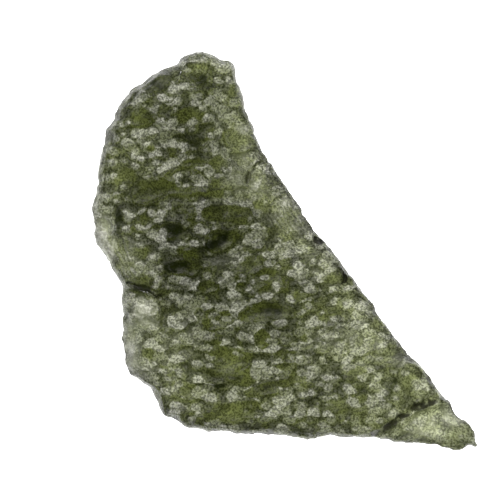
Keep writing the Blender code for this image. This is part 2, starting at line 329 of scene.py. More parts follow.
@dataclass(frozen=True)
class Ripples:
    """The rings of a fresh chip, round the place where it was struck.

    They are squashed along Y, stray by the wobble, and show where cover plus the breaks is above 0.
    """

    x: float
    y: float
    reach_x: float
    reach_y: float
    heart_x: float
    heart_y: float
    pitch: float
    height: float
    squash: float = 1.3
    wobble: Unevenness = Unevenness(0.8, 0.12, 41)
    cover: float = 0.7
    breaks: Unevenness = Unevenness(1.2, 1.0, 42)

    def over(self, x: Array, y: Array) -> Array:
        """The rise of the rings at the places.

        Args:
            x: Places along X.
            y: Places along Y.

        Returns:
            The rise of each place.
        """
        inside = np.exp(-(((x - self.x) / self.reach_x) ** 4) - ((y - self.y) / self.reach_y) ** 4)
        out = np.hypot(x - self.heart_x, self.squash * (y - self.heart_y))
        rings = np.sin(2 * np.pi * (out + self.wobble.over(x, y)) / self.pitch)
        return self.height * inside * rings * np.clip(self.cover + self.breaks.over(x, y), 0, 1)


@dataclass(frozen=True)
class Outline:
    """The stone's edge as seen from above, clockwise from the top of the head."""

    height: float = 36.0
    chip: float = 0.07
    chips: tuple[Unevenness, ...] = (Unevenness(0.9, 1.0, 31), Unevenness(0.36, 0.5, 32))
    steps_per_corner: int = 12
    corners: tuple[Place, ...] = (
        (-7.2, 18.0), (-6.3, 17.6), (-5.5, 17.2), (-4.9, 17.2), (-4.3, 16.6),
        (-4.2, 15.6), (-3.7, 14.1), (-3.1, 12.1), (-2.6, 10.9), (-1.9, 9.1),
        (-0.7, 7.2), (0.7, 5.3), (1.6, 3.9), (1.9, 3.1), (3.4, 1.2),
        (4.3, 0.2), (5.6, -1.5), (7.0, -3.4), (7.9, -4.5), (8.4, -5.4),
        (9.9, -7.4), (11.4, -9.3), (13.0, -11.1), (14.2, -12.7), (15.0, -13.4),
        (15.2, -14.2), (15.6, -14.7), (16.2, -15.0), (16.8, -15.7), (17.2, -16.4),
        (17.4, -17.4), (17.2, -17.7), (16.5, -17.7), (16.0, -18.0), (15.2, -18.0),
        (14.3, -17.7), (12.9, -17.5), (9.9, -17.2), (6.8, -16.8), (5.3, -16.9),
        (4.2, -16.7), (3.2, -16.8), (2.5, -17.0), (1.0, -16.9), (-0.3, -16.7),
        (-1.7, -16.6), (-4.0, -16.6), (-5.1, -16.3), (-6.7, -16.3), (-7.6, -16.1),
        (-8.6, -16.0), (-9.3, -15.7), (-10.0, -15.2), (-10.7, -14.9), (-11.2, -14.2),
        (-11.6, -13.4), (-12.0, -12.4), (-12.6, -11.9), (-13.4, -11.4), (-14.0, -11.1),
        (-14.4, -10.5), (-14.5, -9.1), (-14.7, -8.1), (-14.7, -6.9), (-14.6, -5.7),
        (-14.7, -4.6), (-14.6, -3.4), (-14.9, -2.6), (-15.5, -1.8), (-16.2, -0.5),
        (-16.7, 0.1), (-17.1, 1.0), (-17.3, 2.5), (-17.4, 3.8), (-17.1, 5.0),
        (-16.8, 6.6), (-16.7, 7.6), (-16.5, 8.7), (-16.3, 9.8), (-16.0, 10.9),
        (-15.4, 11.8), (-15.3, 12.5), (-14.8, 13.3), (-14.4, 13.9), (-13.6, 14.7),
        (-12.6, 15.4), (-11.5, 16.1), (-10.6, 16.5), (-9.7, 16.9), (-9.3, 17.4),
        (-8.3, 17.8), (-7.6, 17.9),
    )

    def line(self, spacing: float) -> Array:
        """The edge with its small chips, as a closed line.

        Args:
            spacing: The distance between its points.

        Returns:
            The points, one row each.
        """
        here = np.array(self.corners)
        before, after, later = (np.roll(here, steps, axis=0) for steps in (1, -1, -2))
        t = np.linspace(0, 1, self.steps_per_corner, endpoint=False)[None, :, None]
        # a smooth curve that passes through every corner
        curve = 0.5 * (
            2 * here[:, None]
            + (after - before)[:, None] * t
            + (2 * before - 5 * here + 4 * after - later)[:, None] * t**2
            + (3 * here - before - 3 * after + later)[:, None] * t**3
        )
        curve = curve.reshape(-1, 2)
        closed = np.vstack((curve, curve[:1]))
        travelled = np.concatenate(([0.0], np.cumsum(np.hypot(*np.diff(closed, axis=0).T))))
        stops = np.linspace(0, travelled[-1], int(round(travelled[-1] / spacing)), endpoint=False)
        points = np.column_stack([np.interp(stops, travelled, closed[:, k]) for k in range(2)])
        points *= self.height / np.ptp(points[:, 1])
        cut = self.chip * (1 + total(self.chips, *points.T))
        return points + inward(points) * cut[:, None]


def inward(line: Array) -> Array:
    """The direction that points inwards at each point of a clockwise closed line."""
    way = np.roll(line, -1, axis=0) - np.roll(line, 1, axis=0)
    return np.column_stack((way[:, 1], -way[:, 0])) / np.hypot(*way.T)[:, None]


def rim_turn(inside: Array, radius: Array) -> Array:
    """From 0 at the outline to 1 where the face begins, as a quarter of an ellipse."""
    return np.sqrt(np.clip(1 - (1 - np.clip(inside / radius, 0, 1)) ** 2, 0, 1))


@dataclass(frozen=True)
class Relief:
    """The shape of both faces: the broad swells, the ledges, the hollows and the fine marks.

    Each comment in a table is true of the entries from its line down to the next comment.
    """

    upper_level: float = 5.25
    lower_level: float = 1.70
    rim_radius: float = 0.70
    under_rim_radius: float = 2.0
    rim_chips: Unevenness = Unevenness(1.7, 0.45, 22)
    under_rim_chips: Unevenness = Unevenness(1.7, 0.45, 21)
    rim_height: float = 0.62  # of the way up from the lower face to the upper one
    rim_follow: float = 0.5  # how far the rim's height follows the faces beside it
    upper_scallops: Scallops = Scallops(2.2, 1.3, 0.30, 3)
    lower_scallops: Scallops = Scallops(3.2, 2.3, 0.42, 7)
    flat_fade: float = 0.33  # below this height the dishes fade into the flat spot
    wander_x: tuple[Unevenness, ...] = (Unevenness(0.75, 0.16, 13), Unevenness(2.1, 0.50, 11))
    wander_y: tuple[Unevenness, ...] = (Unevenness(0.75, 0.16, 14), Unevenness(2.1, 0.35, 12))
    groove_pitch: float = 0.42
    groove_depth: float = 0.07
    groove_wobble: Unevenness = Unevenness(0.9, 0.12, 23)
    upper_swells: tuple[Swell, ...] = (
        Swell(-9.2, 3.4, 6.2, 9.4, 1.75),  # the thick middle
        Swell(-10.6, 13.2, 4.2, 3.8, 1.55),  # the head
        Swell(-0.4, -6.2, 6.0, 4.4, 0.85),  # the shoulder beside the beak
        Swell(-2.4, -13.6, 6.5, 3.6, 0.75),  # the heel
        Swell(6.5, -14.8, 6.5, 3.2, 0.75),  # the root of the beak
        Swell(14.8, -16.0, 3.4, 2.6, -0.80),  # the beak thins out
        Swell(-14.2, -8.2, 1.8, 3.6, -1.30),  # the thin lower left side
        Swell(-16.4, 0.6, 1.4, 3.0, -0.90),  # the thin left side
        Swell(-12.6, -5.0, 1.5, 1.4, 0.55),  # the lump beside the left scar
        Swell(-2.6, 8.8, 2.4, 5.6, -1.00),  # the thin flank beside the head
        Swell(1.0, 2.8, 2.6, 3.6, -1.40),  # the flank further down
        Swell(5.2, -4.0, 2.6, 3.0, -0.55),
    )
    lower_swells: tuple[Swell, ...] = (
        Swell(-4.8, -2.4, 9.0, 12.0, -1.95),  # the belly that it rests on
        Swell(-9.0, 14.0, 5.0, 3.0, -0.30),  # the underside of the head
        Swell(14.6, -16.0, 4.0, 3.0, 0.30),  # the beak lifts a little
    )
    rim_swells: tuple[Swell, ...] = (
        Swell(-16.6, 6.5, 1.6, 5.5, 1.05),  # the bevel down the left side
        Swell(-14.0, 14.2, 2.6, 2.2, 0.75),  # its run over the shoulder of the head
        Swell(-14.4, -8.6, 1.5, 2.6, 0.60),  # the blunt lower left side
        Swell(-11.4, -13.6, 1.8, 1.8, 0.50),  # the chipped lower left corner
    )
    ledges: tuple[Ledge, ...] = (
        Ledge((8.1, -16.2), (13.8, -13.5), 0.60, 0.6, 2.4),  # the ledge across the root of the beak
        Ledge((-13.4, -3.2), (-10.0, -4.7), 0.60, 0.6, 1.3),  # the brow over the left lump
    )
    hollows: tuple[Hollow, ...] = (
        Hollow(-13.0, 12.0, 1.50, 0.95, 10, 0.34, -0.2, 1.0),  # the head
        Hollow(-8.5, 12.0, 1.40, 0.60, 5, 0.28, 0.3, 0.7),
        Hollow(-7.4, 15.7, 1.15, 1.30, 0, 0.44, 0.0, 1.0),
        Hollow(-10.9, 15.2, 1.60, 0.65, 28, 0.26, 0.2, 0.6),
        Hollow(-14.3, 6.8, 1.50, 0.70, 0, 0.29, -0.2, 0.8),  # the pools of the upper middle
        Hollow(-11.6, 5.5, 2.20, 1.20, 5, 0.43, -0.4, 1.0),
        Hollow(-8.9, 3.9, 1.35, 0.55, -3, 0.29, -0.2, 0.9),
        Hollow(-5.1, 3.5, 2.60, 0.95, 3, 0.40, 0.0, 1.0),
        Hollow(-5.6, 0.8, 1.75, 0.85, 20, 0.50, 0.3, 0.8),  # the two deep folds below them
        Hollow(-8.9, -1.5, 1.85, 0.85, -5, 0.50, 0.3, 0.9),
        Hollow(-12.1, -2.7, 0.85, 0.95, 0, 0.40, 0.2),  # over the left lump
        Hollow(-6.5, -3.2, 1.15, 0.70, 0, 0.31, 0.3, 0.8),  # the lower middle
        Hollow(-3.3, -3.3, 1.35, 0.70, -10, 0.31, 0.3, 0.8),
        Hollow(-6.2, -6.0, 1.55, 1.05, 20, 0.36, 0.2, 0.8),
        Hollow(-2.0, -5.5, 2.90, 0.95, 10, 0.42, 0.3, 1.0),
        Hollow(-2.0, -7.8, 0.95, 0.80, 0, 0.30, 0.2, 0.8),
        Hollow(-5.4, -9.8, 2.50, 1.35, 5, 0.42, 0.2, 0.8),  # the pools of the heel
        Hollow(-4.4, -14.2, 3.00, 1.05, 8, 0.37, 0.2, 0.9),
        Hollow(-1.7, -12.1, 2.05, 0.70, 15, 0.29, 0.3, 0.7),
        Hollow(1.4, -3.8, 1.80, 0.70, 10, 0.30, 0.3),  # along the long right side of the middle
        Hollow(3.7, -4.9, 2.00, 0.75, 8, 0.37, 0.3),
        Hollow(-4.2, 9.9, 1.90, 1.00, -20, 0.36, -0.2, 1.0),  # beside and below the head, on the right
        Hollow(-5.6, 5.9, 1.50, 0.65, 0, 0.24, 0.2, 0.7),
        Hollow(7.2, -11.4, 2.30, 0.90, 5, 0.26, 0.2),  # the shoulder and the root of the beak
        Hollow(5.4, -13.7, 2.10, 0.85, 0, 0.28, 0.2),
        Hollow(2.1, -15.5, 1.80, 0.80, 0, 0.34, 0.3),
        Hollow(4.8, -8.6, 2.10, 0.85, 12, 0.28, 0.2),
        Hollow(10.2, -12.2, 1.60, 0.75, -30, 0.23, 0.2),
        Hollow(-10.9, -6.7, 1.20, 1.80, 0, 0.30, 0.0),  # beside the left lump
        Hollow(-14.6, -0.5, 1.25, 2.70, 8, 0.50, 0.0, 1.0),  # the left scar
        Hollow(-12.1, -12.7, 2.60, 1.00, -46, 0.50, 0.0, 1.0),  # the chipped lower left corner
        Hollow(12.9, -15.9, 2.10, 1.15, -8, 0.24, 0.2),  # the beak
        Hollow(1.0, 2.6, 1.30, 1.00, -50, 0.24, 0.0),  # the right flank
        Hollow(-1.6, 5.6, 1.40, 1.00, -40, 0.24, 0.0),
        Hollow(-12.6, 2.6, 1.60, 0.75, 12, 0.29, 0.3),  # smaller ones between all these
        Hollow(-11.0, 8.6, 1.90, 0.75, 4, 0.28, 0.2),
        Hollow(-8.2, 7.2, 1.60, 0.70, 0, 0.26, 0.2),
        Hollow(-2.4, 0.4, 1.60, 0.70, 12, 0.28, 0.2),
        Hollow(0.6, -1.2, 1.50, 0.65, 10, 0.24, 0.2),
        Hollow(-8.6, -12.6, 1.60, 0.80, 0, 0.30, 0.2),
        Hollow(0.4, -9.2, 1.60, 0.70, 8, 0.29, 0.2),
        Hollow(2.4, -12.0, 1.60, 0.70, 8, 0.26, 0.2),
        Hollow(-8.8, -7.6, 1.30, 0.80, 0, 0.30, 0.2),
    )
    # a trail's last number is how much painted shade is laid along it
    trails: tuple[Trail, ...] = (
        Trail(((-2.0, 7.9), (-3.1, 7.1), (-3.4, 6.1)), 0.22, -0.25, 0.9),  # the cracks in the right flank
        Trail(((0.1, 4.9), (-1.3, 4.2), (-1.6, 3.2)), 0.18, -0.20, 0.7),
        # the foot of the ledge across the root of the beak
        Trail(((7.9, -16.5), (9.2, -15.8), (10.5, -14.8), (11.6, -13.9), (13.4, -13.3)), 0.42, -0.35, 1.0),
        Trail(((2.8, 1.1), (3.4, 0.8)), 0.30, -0.25, 1.0),  # the black nicks in the long right edge
        Trail(((5.0, -1.6), (5.4, -2.9)), 0.25, -0.25, 1.0),
        Trail(((12.8, -11.2), (13.7, -12.1)), 0.30, -0.25, 0.9),
        # the fold over the left lump, and its run down the lump's side
        Trail(((-13.9, -2.9), (-13.0, -3.2), (-11.9, -3.5), (-11.1, -4.2)), 0.30, -0.25, 1.0),
        Trail(((-11.1, -4.2), (-10.6, -5.2), (-10.8, -6.6)), 0.24, -0.20, 0.6),
        # the fine crest round the chip in the head
        Trail(((-8.7, 16.8), (-9.2, 15.9), (-9.5, 14.8)), 0.22, 0.16),
    )
    ripples: tuple[Ripples, ...] = (
        Ripples(-7.4, 15.7, 1.2, 1.3, -9.0, 16.6, 0.42, 0.035),  # the chip in the head
        Ripples(-12.1, -12.9, 2.2, 1.3, -14.0, -11.0, 0.50, 0.035),  # the chipped lower left corner
        Ripples(-0.2, 4.6, 2.4, 5.5, -20.0, -5.0, 0.40, 0.050),  # the fine lines of the right flank
        Ripples(-14.2, -0.8, 1.0, 2.8, -4.0, 2.0, 0.38, 0.030),  # the left scar
    )

    def wandered(self, x: Array, y: Array) -> tuple[Array, Array]:
        """The places moved a little each way, so that no ledge is straight and no hollow a true oval."""
        return total(self.wander_x, x, y, x), total(self.wander_y, x, y, y)

    def dished(self, x: Array, y: Array) -> Array:
        """The deepest of the hollows at the places, so that neighbours meet in a crisp ridge."""
        x, y = self.wandered(x, y)
        return np.max([hollow.over(x, y) for hollow in self.hollows], axis=0)

    def upper(self, x: Array, y: Array) -> Array:
        """The upper face as if it had no rim.

        Args:
            x: Places along X.
            y: Places along Y.

        Returns:
            The height of each place.
        """
        u, v = self.wandered(x, y)
        level = self.upper_level + total(self.upper_swells, u, v) - total(self.ledges, u, v)
        level -= np.maximum(self.dished(x, y), self.upper_scallops.over(u, v))
        return level + total(self.trails, x, y) + total(self.ripples, x, y)

    def lower(self, x: Array, y: Array) -> Array:
        """The lower face as if it had no rim. It is worn flat where it rests.

        Args:
            x: Places along X.
            y: Places along Y.

        Returns:
            The height of each place.
        """
        level = self.lower_level + total(self.lower_swells, x, y)
        dish = self.lower_scallops.over(*self.wandered(x, y))
        return np.maximum(level + dish * np.clip(level / self.flat_fade, 0, 1), 0.0)

    def bevel(self, x: Array, y: Array) -> Array:
        """How much wider the upper rim turns at the places, where it is a bevel."""
        return total(self.rim_swells, x, y)

    def heights(self, points: Array, inside: Array, is_upper: bool) -> Array:
        """Height of the finished face.

        Args:
            points: Places seen from above, one row each.
            inside: How far each is inside the outline.
            is_upper: Whether it is the upper face.

        Returns:
            The height of each point.
        """
        x, y = points.T
        top, bottom = self.upper(x, y), self.lower(x, y)
        edge = self.lower_level + self.rim_height * (self.upper_level - self.lower_level)
        beside = bottom + self.rim_height * (top - bottom)
        middle = (1 - self.rim_follow) * edge + self.rim_follow * beside
        if not is_upper:
            radius = self.under_rim_radius * (1 + self.under_rim_chips.over(x, y))
            return middle + (bottom - middle) * rim_turn(inside, radius)
        bevel = self.bevel(x, y)
        depth = inside + self.groove_wobble.over(x, y)
        grooves = self.groove_depth * np.clip(bevel, 0, 1) * np.sin(2 * np.pi * depth / self.groove_pitch)
        top = top + grooves * np.clip(inside / self.groove_pitch, 0, 1)
        radius = self.rim_radius * (1 + self.rim_chips.over(x, y)) + bevel
        return middle + (top - middle) * rim_turn(inside, radius)


@dataclass(frozen=True)
class Skin:
    """The marks on the upper face: where it is smooth or frosted, where shade is painted in broad patches and
    in the cracks, and where it is painted pale as a highlight.

    Each comment in a table is true of the entries from its line down to the next comment. A cover plus its
    breaks says where a thing shows: fully at 1, and not at all at 0.
    """

    relief: Relief = field(default_factory=Relief)
    pool_fill: float = 2.4
    pool_edge: tuple[Unevenness, ...] = (Unevenness(1.0, 0.65, 51), Unevenness(0.5, 0.45, 52))
    pool_fray: float = 0.7
    pool_gain: float = 1.5
    pool_cut: float = 0.35
    bare_patches: tuple[Unevenness, ...] = (Unevenness(1.3, 1.0, 53, 1.6), Unevenness(0.6, 0.5, 54, 1.4))
    bare_gain: float = 1.5
    bare_cut: float = 0.35
    lip_reach: float = 0.13
    lip_gain: float = 2.4
    crack_wander_x: Unevenness = Unevenness(0.6, 0.28, 63)
    crack_wander_y: Unevenness = Unevenness(0.6, 0.28, 64)
    crack_fill: float = 1.8
    crack_cover: float = 0.95
    crack_breaks: tuple[Unevenness, ...] = (Unevenness(0.7, 0.45, 61), Unevenness(0.3, 0.6, 62))
    # how the painted shade is broken up, and where it strays
    painted_shade_breaks: tuple[Unevenness, ...] = (Unevenness(1.4, 0.5, 71), Unevenness(0.55, 0.5, 76))
    stray_painted_shade: Unevenness = Unevenness(2.6, 0.25, 72)
    bloom_cover: float = 1.35
    bloom_breaks: tuple[Unevenness, ...] = (Unevenness(2.2, 0.6, 74), Unevenness(1.1, 0.7, 75))
    bloom_lost_in_shade: float = 0.95
    frost_and_highlight_breaks: Unevenness = Unevenness(0.6, 0.6, 73)
    frost_and_highlight_rings: float = 0.7
    highlight_lost_in_shade: float = 0.9
    streak_wobble: Unevenness = Unevenness(1.1, 0.15, 23)
    streak_fade: float = 1.2
    streak_reach: float = 1.4  # in fades
    streak_cover: float = 0.6
    streak_breaks: Unevenness = Unevenness(0.9, 1.0, 24)
    # how much the streak lines clear painted shade, add painted shade and add painted highlight
    streak_clearing: float = 0.7
    streak_shade: float = 0.6
    streak_highlight: float = 0.12
    rim_line: float = 0.17
    rim_line_reach: float = 1.3  # in widths of the line
    rim_line_cover: float = 0.55
    rim_line_breaks: Unevenness = Unevenness(1.6, 1.1, 25)
    rim_line_shade: float = 0.8
    edge_bloom: float = 0.1
    edge_bloom_rise: float = 1.4
    underside_bloom: float = 0.25
    # painted shade: darker patches painted on the head, the folds, the creases, the brows and across the
    # thick middle
    painted_shade_patches: tuple[Swell, ...] = (
        Swell(-7.0, 15.5, 2.0, 2.0, 0.85),  # the head and its left shoulder
        Swell(-11.4, 15.2, 2.2, 1.4, 0.85),
        Swell(-14.2, 12.8, 1.4, 1.8, 0.25),
        Swell(-12.1, 12.2, 2.0, 1.2, 0.25),
        Swell(-7.3, 11.4, 1.3, 3.4, 0.34),  # down the head's right side
        Swell(-15.0, 10.0, 1.8, 1.1, 0.75),  # two places on the left shoulder
        Swell(-11.5, 16.3, 1.4, 0.8, 0.50),
        Swell(-8.6, 8.8, 2.0, 3.0, 0.42),  # down the ridge below the head
        Swell(-15.4, 6.4, 1.3, 2.6, 0.30),  # inside the left bevel
        Swell(-14.8, 2.6, 0.4, 2.2, 0.70),
        Swell(-12.4, 5.4, 2.4, 1.6, 0.32),  # the dark middle
        Swell(-13.2, 2.8, 2.4, 1.1, 0.60),
        Swell(-9.4, 1.8, 1.8, 1.0, 0.70),
        Swell(-9.8, 2.5, 2.6, 1.6, 0.35),
        Swell(-4.6, 3.5, 2.6, 0.9, 0.25),
        Swell(-5.5, 1.4, 0.9, 0.7, 1.20),  # its darkest fold, which runs down to the left
        Swell(-6.3, 0.7, 0.9, 0.7, 1.20),
        Swell(-7.2, 0.1, 0.8, 0.6, 0.90),
        Swell(-9.4, -1.4, 1.8, 0.6, 1.30),  # the arch below that fold, and what lies under it
        Swell(-7.8, -3.0, 2.4, 1.0, 0.40),
        Swell(-12.9, -3.5, 1.3, 0.6, 1.10),  # over the left lump
        Swell(-11.2, -2.6, 1.2, 0.8, 0.75),
        Swell(-2.8, -3.2, 1.4, 1.4, 0.55),  # the folds of the lower middle
        Swell(1.8, -3.6, 2.4, 1.4, 0.50),
        Swell(-1.4, 0.8, 1.8, 1.2, 0.35),
        Swell(-0.6, -5.3, 2.0, 0.9, 0.70),
        Swell(1.8, -10.6, 1.4, 1.4, 0.40),  # above the heel
        Swell(-6.7, -11.2, 1.4, 2.0, 0.40),
        Swell(-5.9, -12.0, 1.0, 0.3, 0.80),  # the crease above the heel
        Swell(-4.4, -11.3, 1.0, 0.3, 0.80),
        Swell(-1.0, -11.8, 1.3, 1.0, 0.55),  # the heel
        Swell(2.6, -14.0, 2.0, 1.6, 0.60),
        Swell(1.2, -16.1, 1.0, 0.7, 0.90),
        Swell(-10.8, -13.6, 1.2, 1.0, 0.35),  # the chipped lower left corner
        Swell(8.1, -12.2, 2.7, 2.4, 0.90),  # the root of the beak
        Swell(9.3, -15.6, 1.2, 0.7, 0.35),
        Swell(5.3, -2.4, 0.6, 0.6, 1.10),  # a nick in the long right edge
        Swell(16.2, -17.0, 1.2, 0.9, 0.60),  # the tip of the beak
    )
    # frost with painted highlight: the bright rims, the pale lump, the lit lip and the bright lines are
    # frosted and painted pale
    frost_and_highlight_patches: tuple[Swell, ...] = (
        Swell(-16.4, 1.4, 0.7, 1.6, 1.8),  # the bright left rim
        Swell(-15.5, 0.0, 0.6, 0.9, 1.6),
        Swell(-16.9, 4.6, 0.35, 3.0, 0.8),
        Swell(-13.9, -1.2, 1.0, 2.0, 0.6),  # the left scar
        Swell(-12.5, -5.6, 1.2, 1.2, 1.10),  # the pale lump beside it
        Swell(-14.1, -9.0, 0.9, 2.2, 1.0),  # the blunt lower left side
        Swell(-12.8, -10.9, 1.0, 1.0, 0.7),
        Swell(-9.4, -7.8, 1.4, 2.4, 0.30),  # single pale places
        Swell(10.3, -9.9, 0.8, 0.8, 0.40),
        Swell(-5.2, -1.3, 1.5, 0.6, 0.30),
        Swell(-3.7, 10.8, 0.7, 0.4, 1.0),  # the bright lip of the flank's hollow
        Swell(-3.8, 6.9, 1.8, 2.2, 0.45),  # the pale right flank
        Swell(-2.2, 5.8, 0.9, 1.2, 0.45),
        Swell(0.4, 3.4, 1.5, 2.0, 0.60),
        Swell(3.3, -1.1, 1.0, 1.2, 0.25),
        Swell(7.4, -8.4, 1.3, 1.2, 0.30),
        Swell(4.6, -7.6, 1.6, 1.2, 0.35),
        Swell(12.6, -15.6, 1.8, 1.2, 0.6),  # the pale beak
        Swell(15.2, -14.8, 0.9, 0.8, 0.60),
        Swell(-7.9, 16.9, 0.6, 0.22, 0.7),  # the bright lines at the top of the head
        Swell(-6.4, 17.0, 1.0, 0.20, 0.5),
    )
    calms: tuple[Swell, ...] = (
        Swell(-3.0, 12.0, 1.6, 5.0, 0.6),  # the finer grained right flank and beak
        Swell(0.5, 3.0, 2.6, 4.0, 0.6),
        Swell(5.5, -5.0, 3.0, 3.6, 0.5),
        Swell(9.5, -11.0, 3.6, 3.0, 0.5),
        Swell(14.0, -15.5, 3.0, 2.0, 0.5),
        Swell(-14.2, -0.5, 1.2, 3.0, 0.8),  # the left scar
        Swell(-12.5, -12.5, 1.8, 1.4, 0.7),  # the chipped lower left corner
        Swell(-4.4, -14.2, 3.0, 1.0, 0.6),  # the pool at the heel
    )

    def polish(self, x: Array, y: Array) -> Array:
        """How smooth the skin is: in the pools of the hollows, in bare patches and on the hollows' lips.

        Args:
            x: Places along X.
            y: Places along Y.

        Returns:
            1 in the pools and 0 where it is pebbled.
        """
        u, v = self.relief.wandered(x, y)
        pools = [
            hollow.polish * np.clip(self.pool_fill * hollow.over(u, v) / hollow.depth, 0, 1)
            for hollow in self.relief.hollows
        ]
        pool = np.max(pools, axis=0) + self.pool_fray * total(self.pool_edge, x, y)
        bare = self.bare_gain * total(self.bare_patches, x, y) - self.bare_cut
        above, below = self.relief.dished(x, y + self.lip_reach), self.relief.dished(x, y - self.lip_reach)
        lips = self.lip_gain * (above - below)
        return eased(np.maximum(self.pool_gain * np.maximum(pool, bare) - self.pool_cut, lips))

    def painted_crease_shade(self, x: Array, y: Array) -> Array:
        """How much painted shade lies in the cracks, nicks and folds and at the foot of the ledge.

        Args:
            x: Places along X.
            y: Places along Y.

        Returns:
            1 in the painted shade and 0 off the cracks.
        """
        u, v = x + self.crack_wander_x.over(x, y), y + self.crack_wander_y.over(x, y)
        lines = [trail.dark * eased(self.crack_fill * trail.nearness(u, v)) for trail in self.relief.trails]
        return np.max(lines, axis=0) * eased(total(self.crack_breaks, x, y, self.crack_cover))

    def painted_shade(self, x: Array, y: Array) -> Array:
        """How much painted shade darkens the glass at the places, in broad clouds."""
        clouds = total(self.painted_shade_patches, x, y) * total(self.painted_shade_breaks, x, y, 1.0)
        return np.clip(clouds + self.stray_painted_shade.over(x, y), 0, 1)

    def bloom(self, x: Array, y: Array) -> Array:
        """How grey the crests of the pebbles are.

        Args:
            x: Places along X.
            y: Places along Y.

        Returns:
            1 where they are fully frosted and 0 where they are clear.
        """
        patches = total(self.bloom_breaks, x, y, self.bloom_cover)
        grey = np.clip((1 - total(self.calms, x, y)) * patches, 0, 1)
        return grey * (1 - self.bloom_lost_in_shade * self.painted_shade(x, y))

    def frost_and_highlight(self, x: Array, y: Array) -> Array:
        """How much the skin is frosted and painted pale as a highlight, more so on the rings of the fresh
        chips.

        Args:
            x: Places along X.
            y: Places along Y.

        Returns:
            1 where it is frosted and painted palest, and 0 where it has no such patch.
        """
        highlight_patches = total(self.frost_and_highlight_patches, x, y)
        rings = sum(ripple.over(x, y) / ripple.height for ripple in self.relief.ripples)
        broken = highlight_patches * (1 + self.frost_and_highlight_breaks.over(x, y))
        return np.clip(broken * (1 + self.frost_and_highlight_rings * rings), 0, 1)

    def streaks(self, x: Array, y: Array, inside: Array) -> Array:
        """The pale and dark lines painted along the bevels' grooves, as their highlight and shade.

        Args:
            x: Places along X.
            y: Places along Y.
            inside: How far each place is inside the outline.

        Returns:
            From -1 in the dark lines to 1 in the pale ones, and 0 off the bevels.
        """
        bevel = np.clip(self.relief.bevel(x, y), 0, 1)
        depth = inside + self.streak_wobble.over(x, y)
        near = np.clip(self.streak_reach - inside / self.streak_fade, 0, 1)
        lines = np.sin(2 * np.pi * depth / self.relief.groove_pitch)
        return bevel * near * lines * np.clip(self.streak_cover + self.streak_breaks.over(x, y), 0, 1)

    def rim_shadow(self, x: Array, y: Array, inside: Array) -> Array:
        """The thin dark line that comes and goes right at the edge.

        Args:
            x: Places along X.
            y: Places along Y.
            inside: How far each place is inside the outline.

        Returns:
            1 in the line and 0 off it.
        """
        near = np.clip(self.rim_line_reach - inside / self.rim_line, 0, 1)
        return near * eased(self.rim_line_cover + self.rim_line_breaks.over(x, y))

    def masks(self, x: Array, y: Array, inside: Array, upper_side: Array) -> dict[Mask, Array]:
        """All that the mesh carries for its finish. The underside has a thin even bloom and no other mark.

        Args:
            x: Places along X.
            y: Places along Y.
            inside: How far each place is inside the outline.
            upper_side: Whether each place is on the upper face.

        Returns:
            The values of each mask.
        """
        # the dark streak lines add painted shade, and the pale ones clear it and add painted highlight
        streaks = self.streaks(x, y, inside)
        pale, dark = np.maximum(streaks, 0), np.maximum(-streaks, 0)
        # painted shade: the broad patches, darker on the dark streak lines and at the rim line, lighter on
        # the pale streak lines
        painted_shade = self.painted_shade(x, y) * (1 - self.streak_clearing * pale) + self.streak_shade * dark
        painted_shade = np.clip(painted_shade + self.rim_line_shade * self.rim_shadow(x, y, inside), 0, 1)
        # frost with painted highlight, which fades under the painted shade
        frost_and_highlight = np.clip(self.frost_and_highlight(x, y) + self.streak_highlight * pale, 0, 1)
        frost_and_highlight = frost_and_highlight * (1 - self.highlight_lost_in_shade * painted_shade)
        bloom = self.bloom(x, y) * np.clip(self.edge_bloom_rise * inside, self.edge_bloom, 1)
        return {
            Mask.POLISH: self.polish(x, y) * upper_side,
            Mask.PAINTED_CREASE_SHADE: self.painted_crease_shade(x, y) * upper_side,
            Mask.PAINTED_SHADE: painted_shade * upper_side,
            Mask.FROST_AND_HIGHLIGHT: frost_and_highlight * upper_side,
            Mask.BLOOM: np.where(upper_side, bloom, self.underside_bloom),
        }


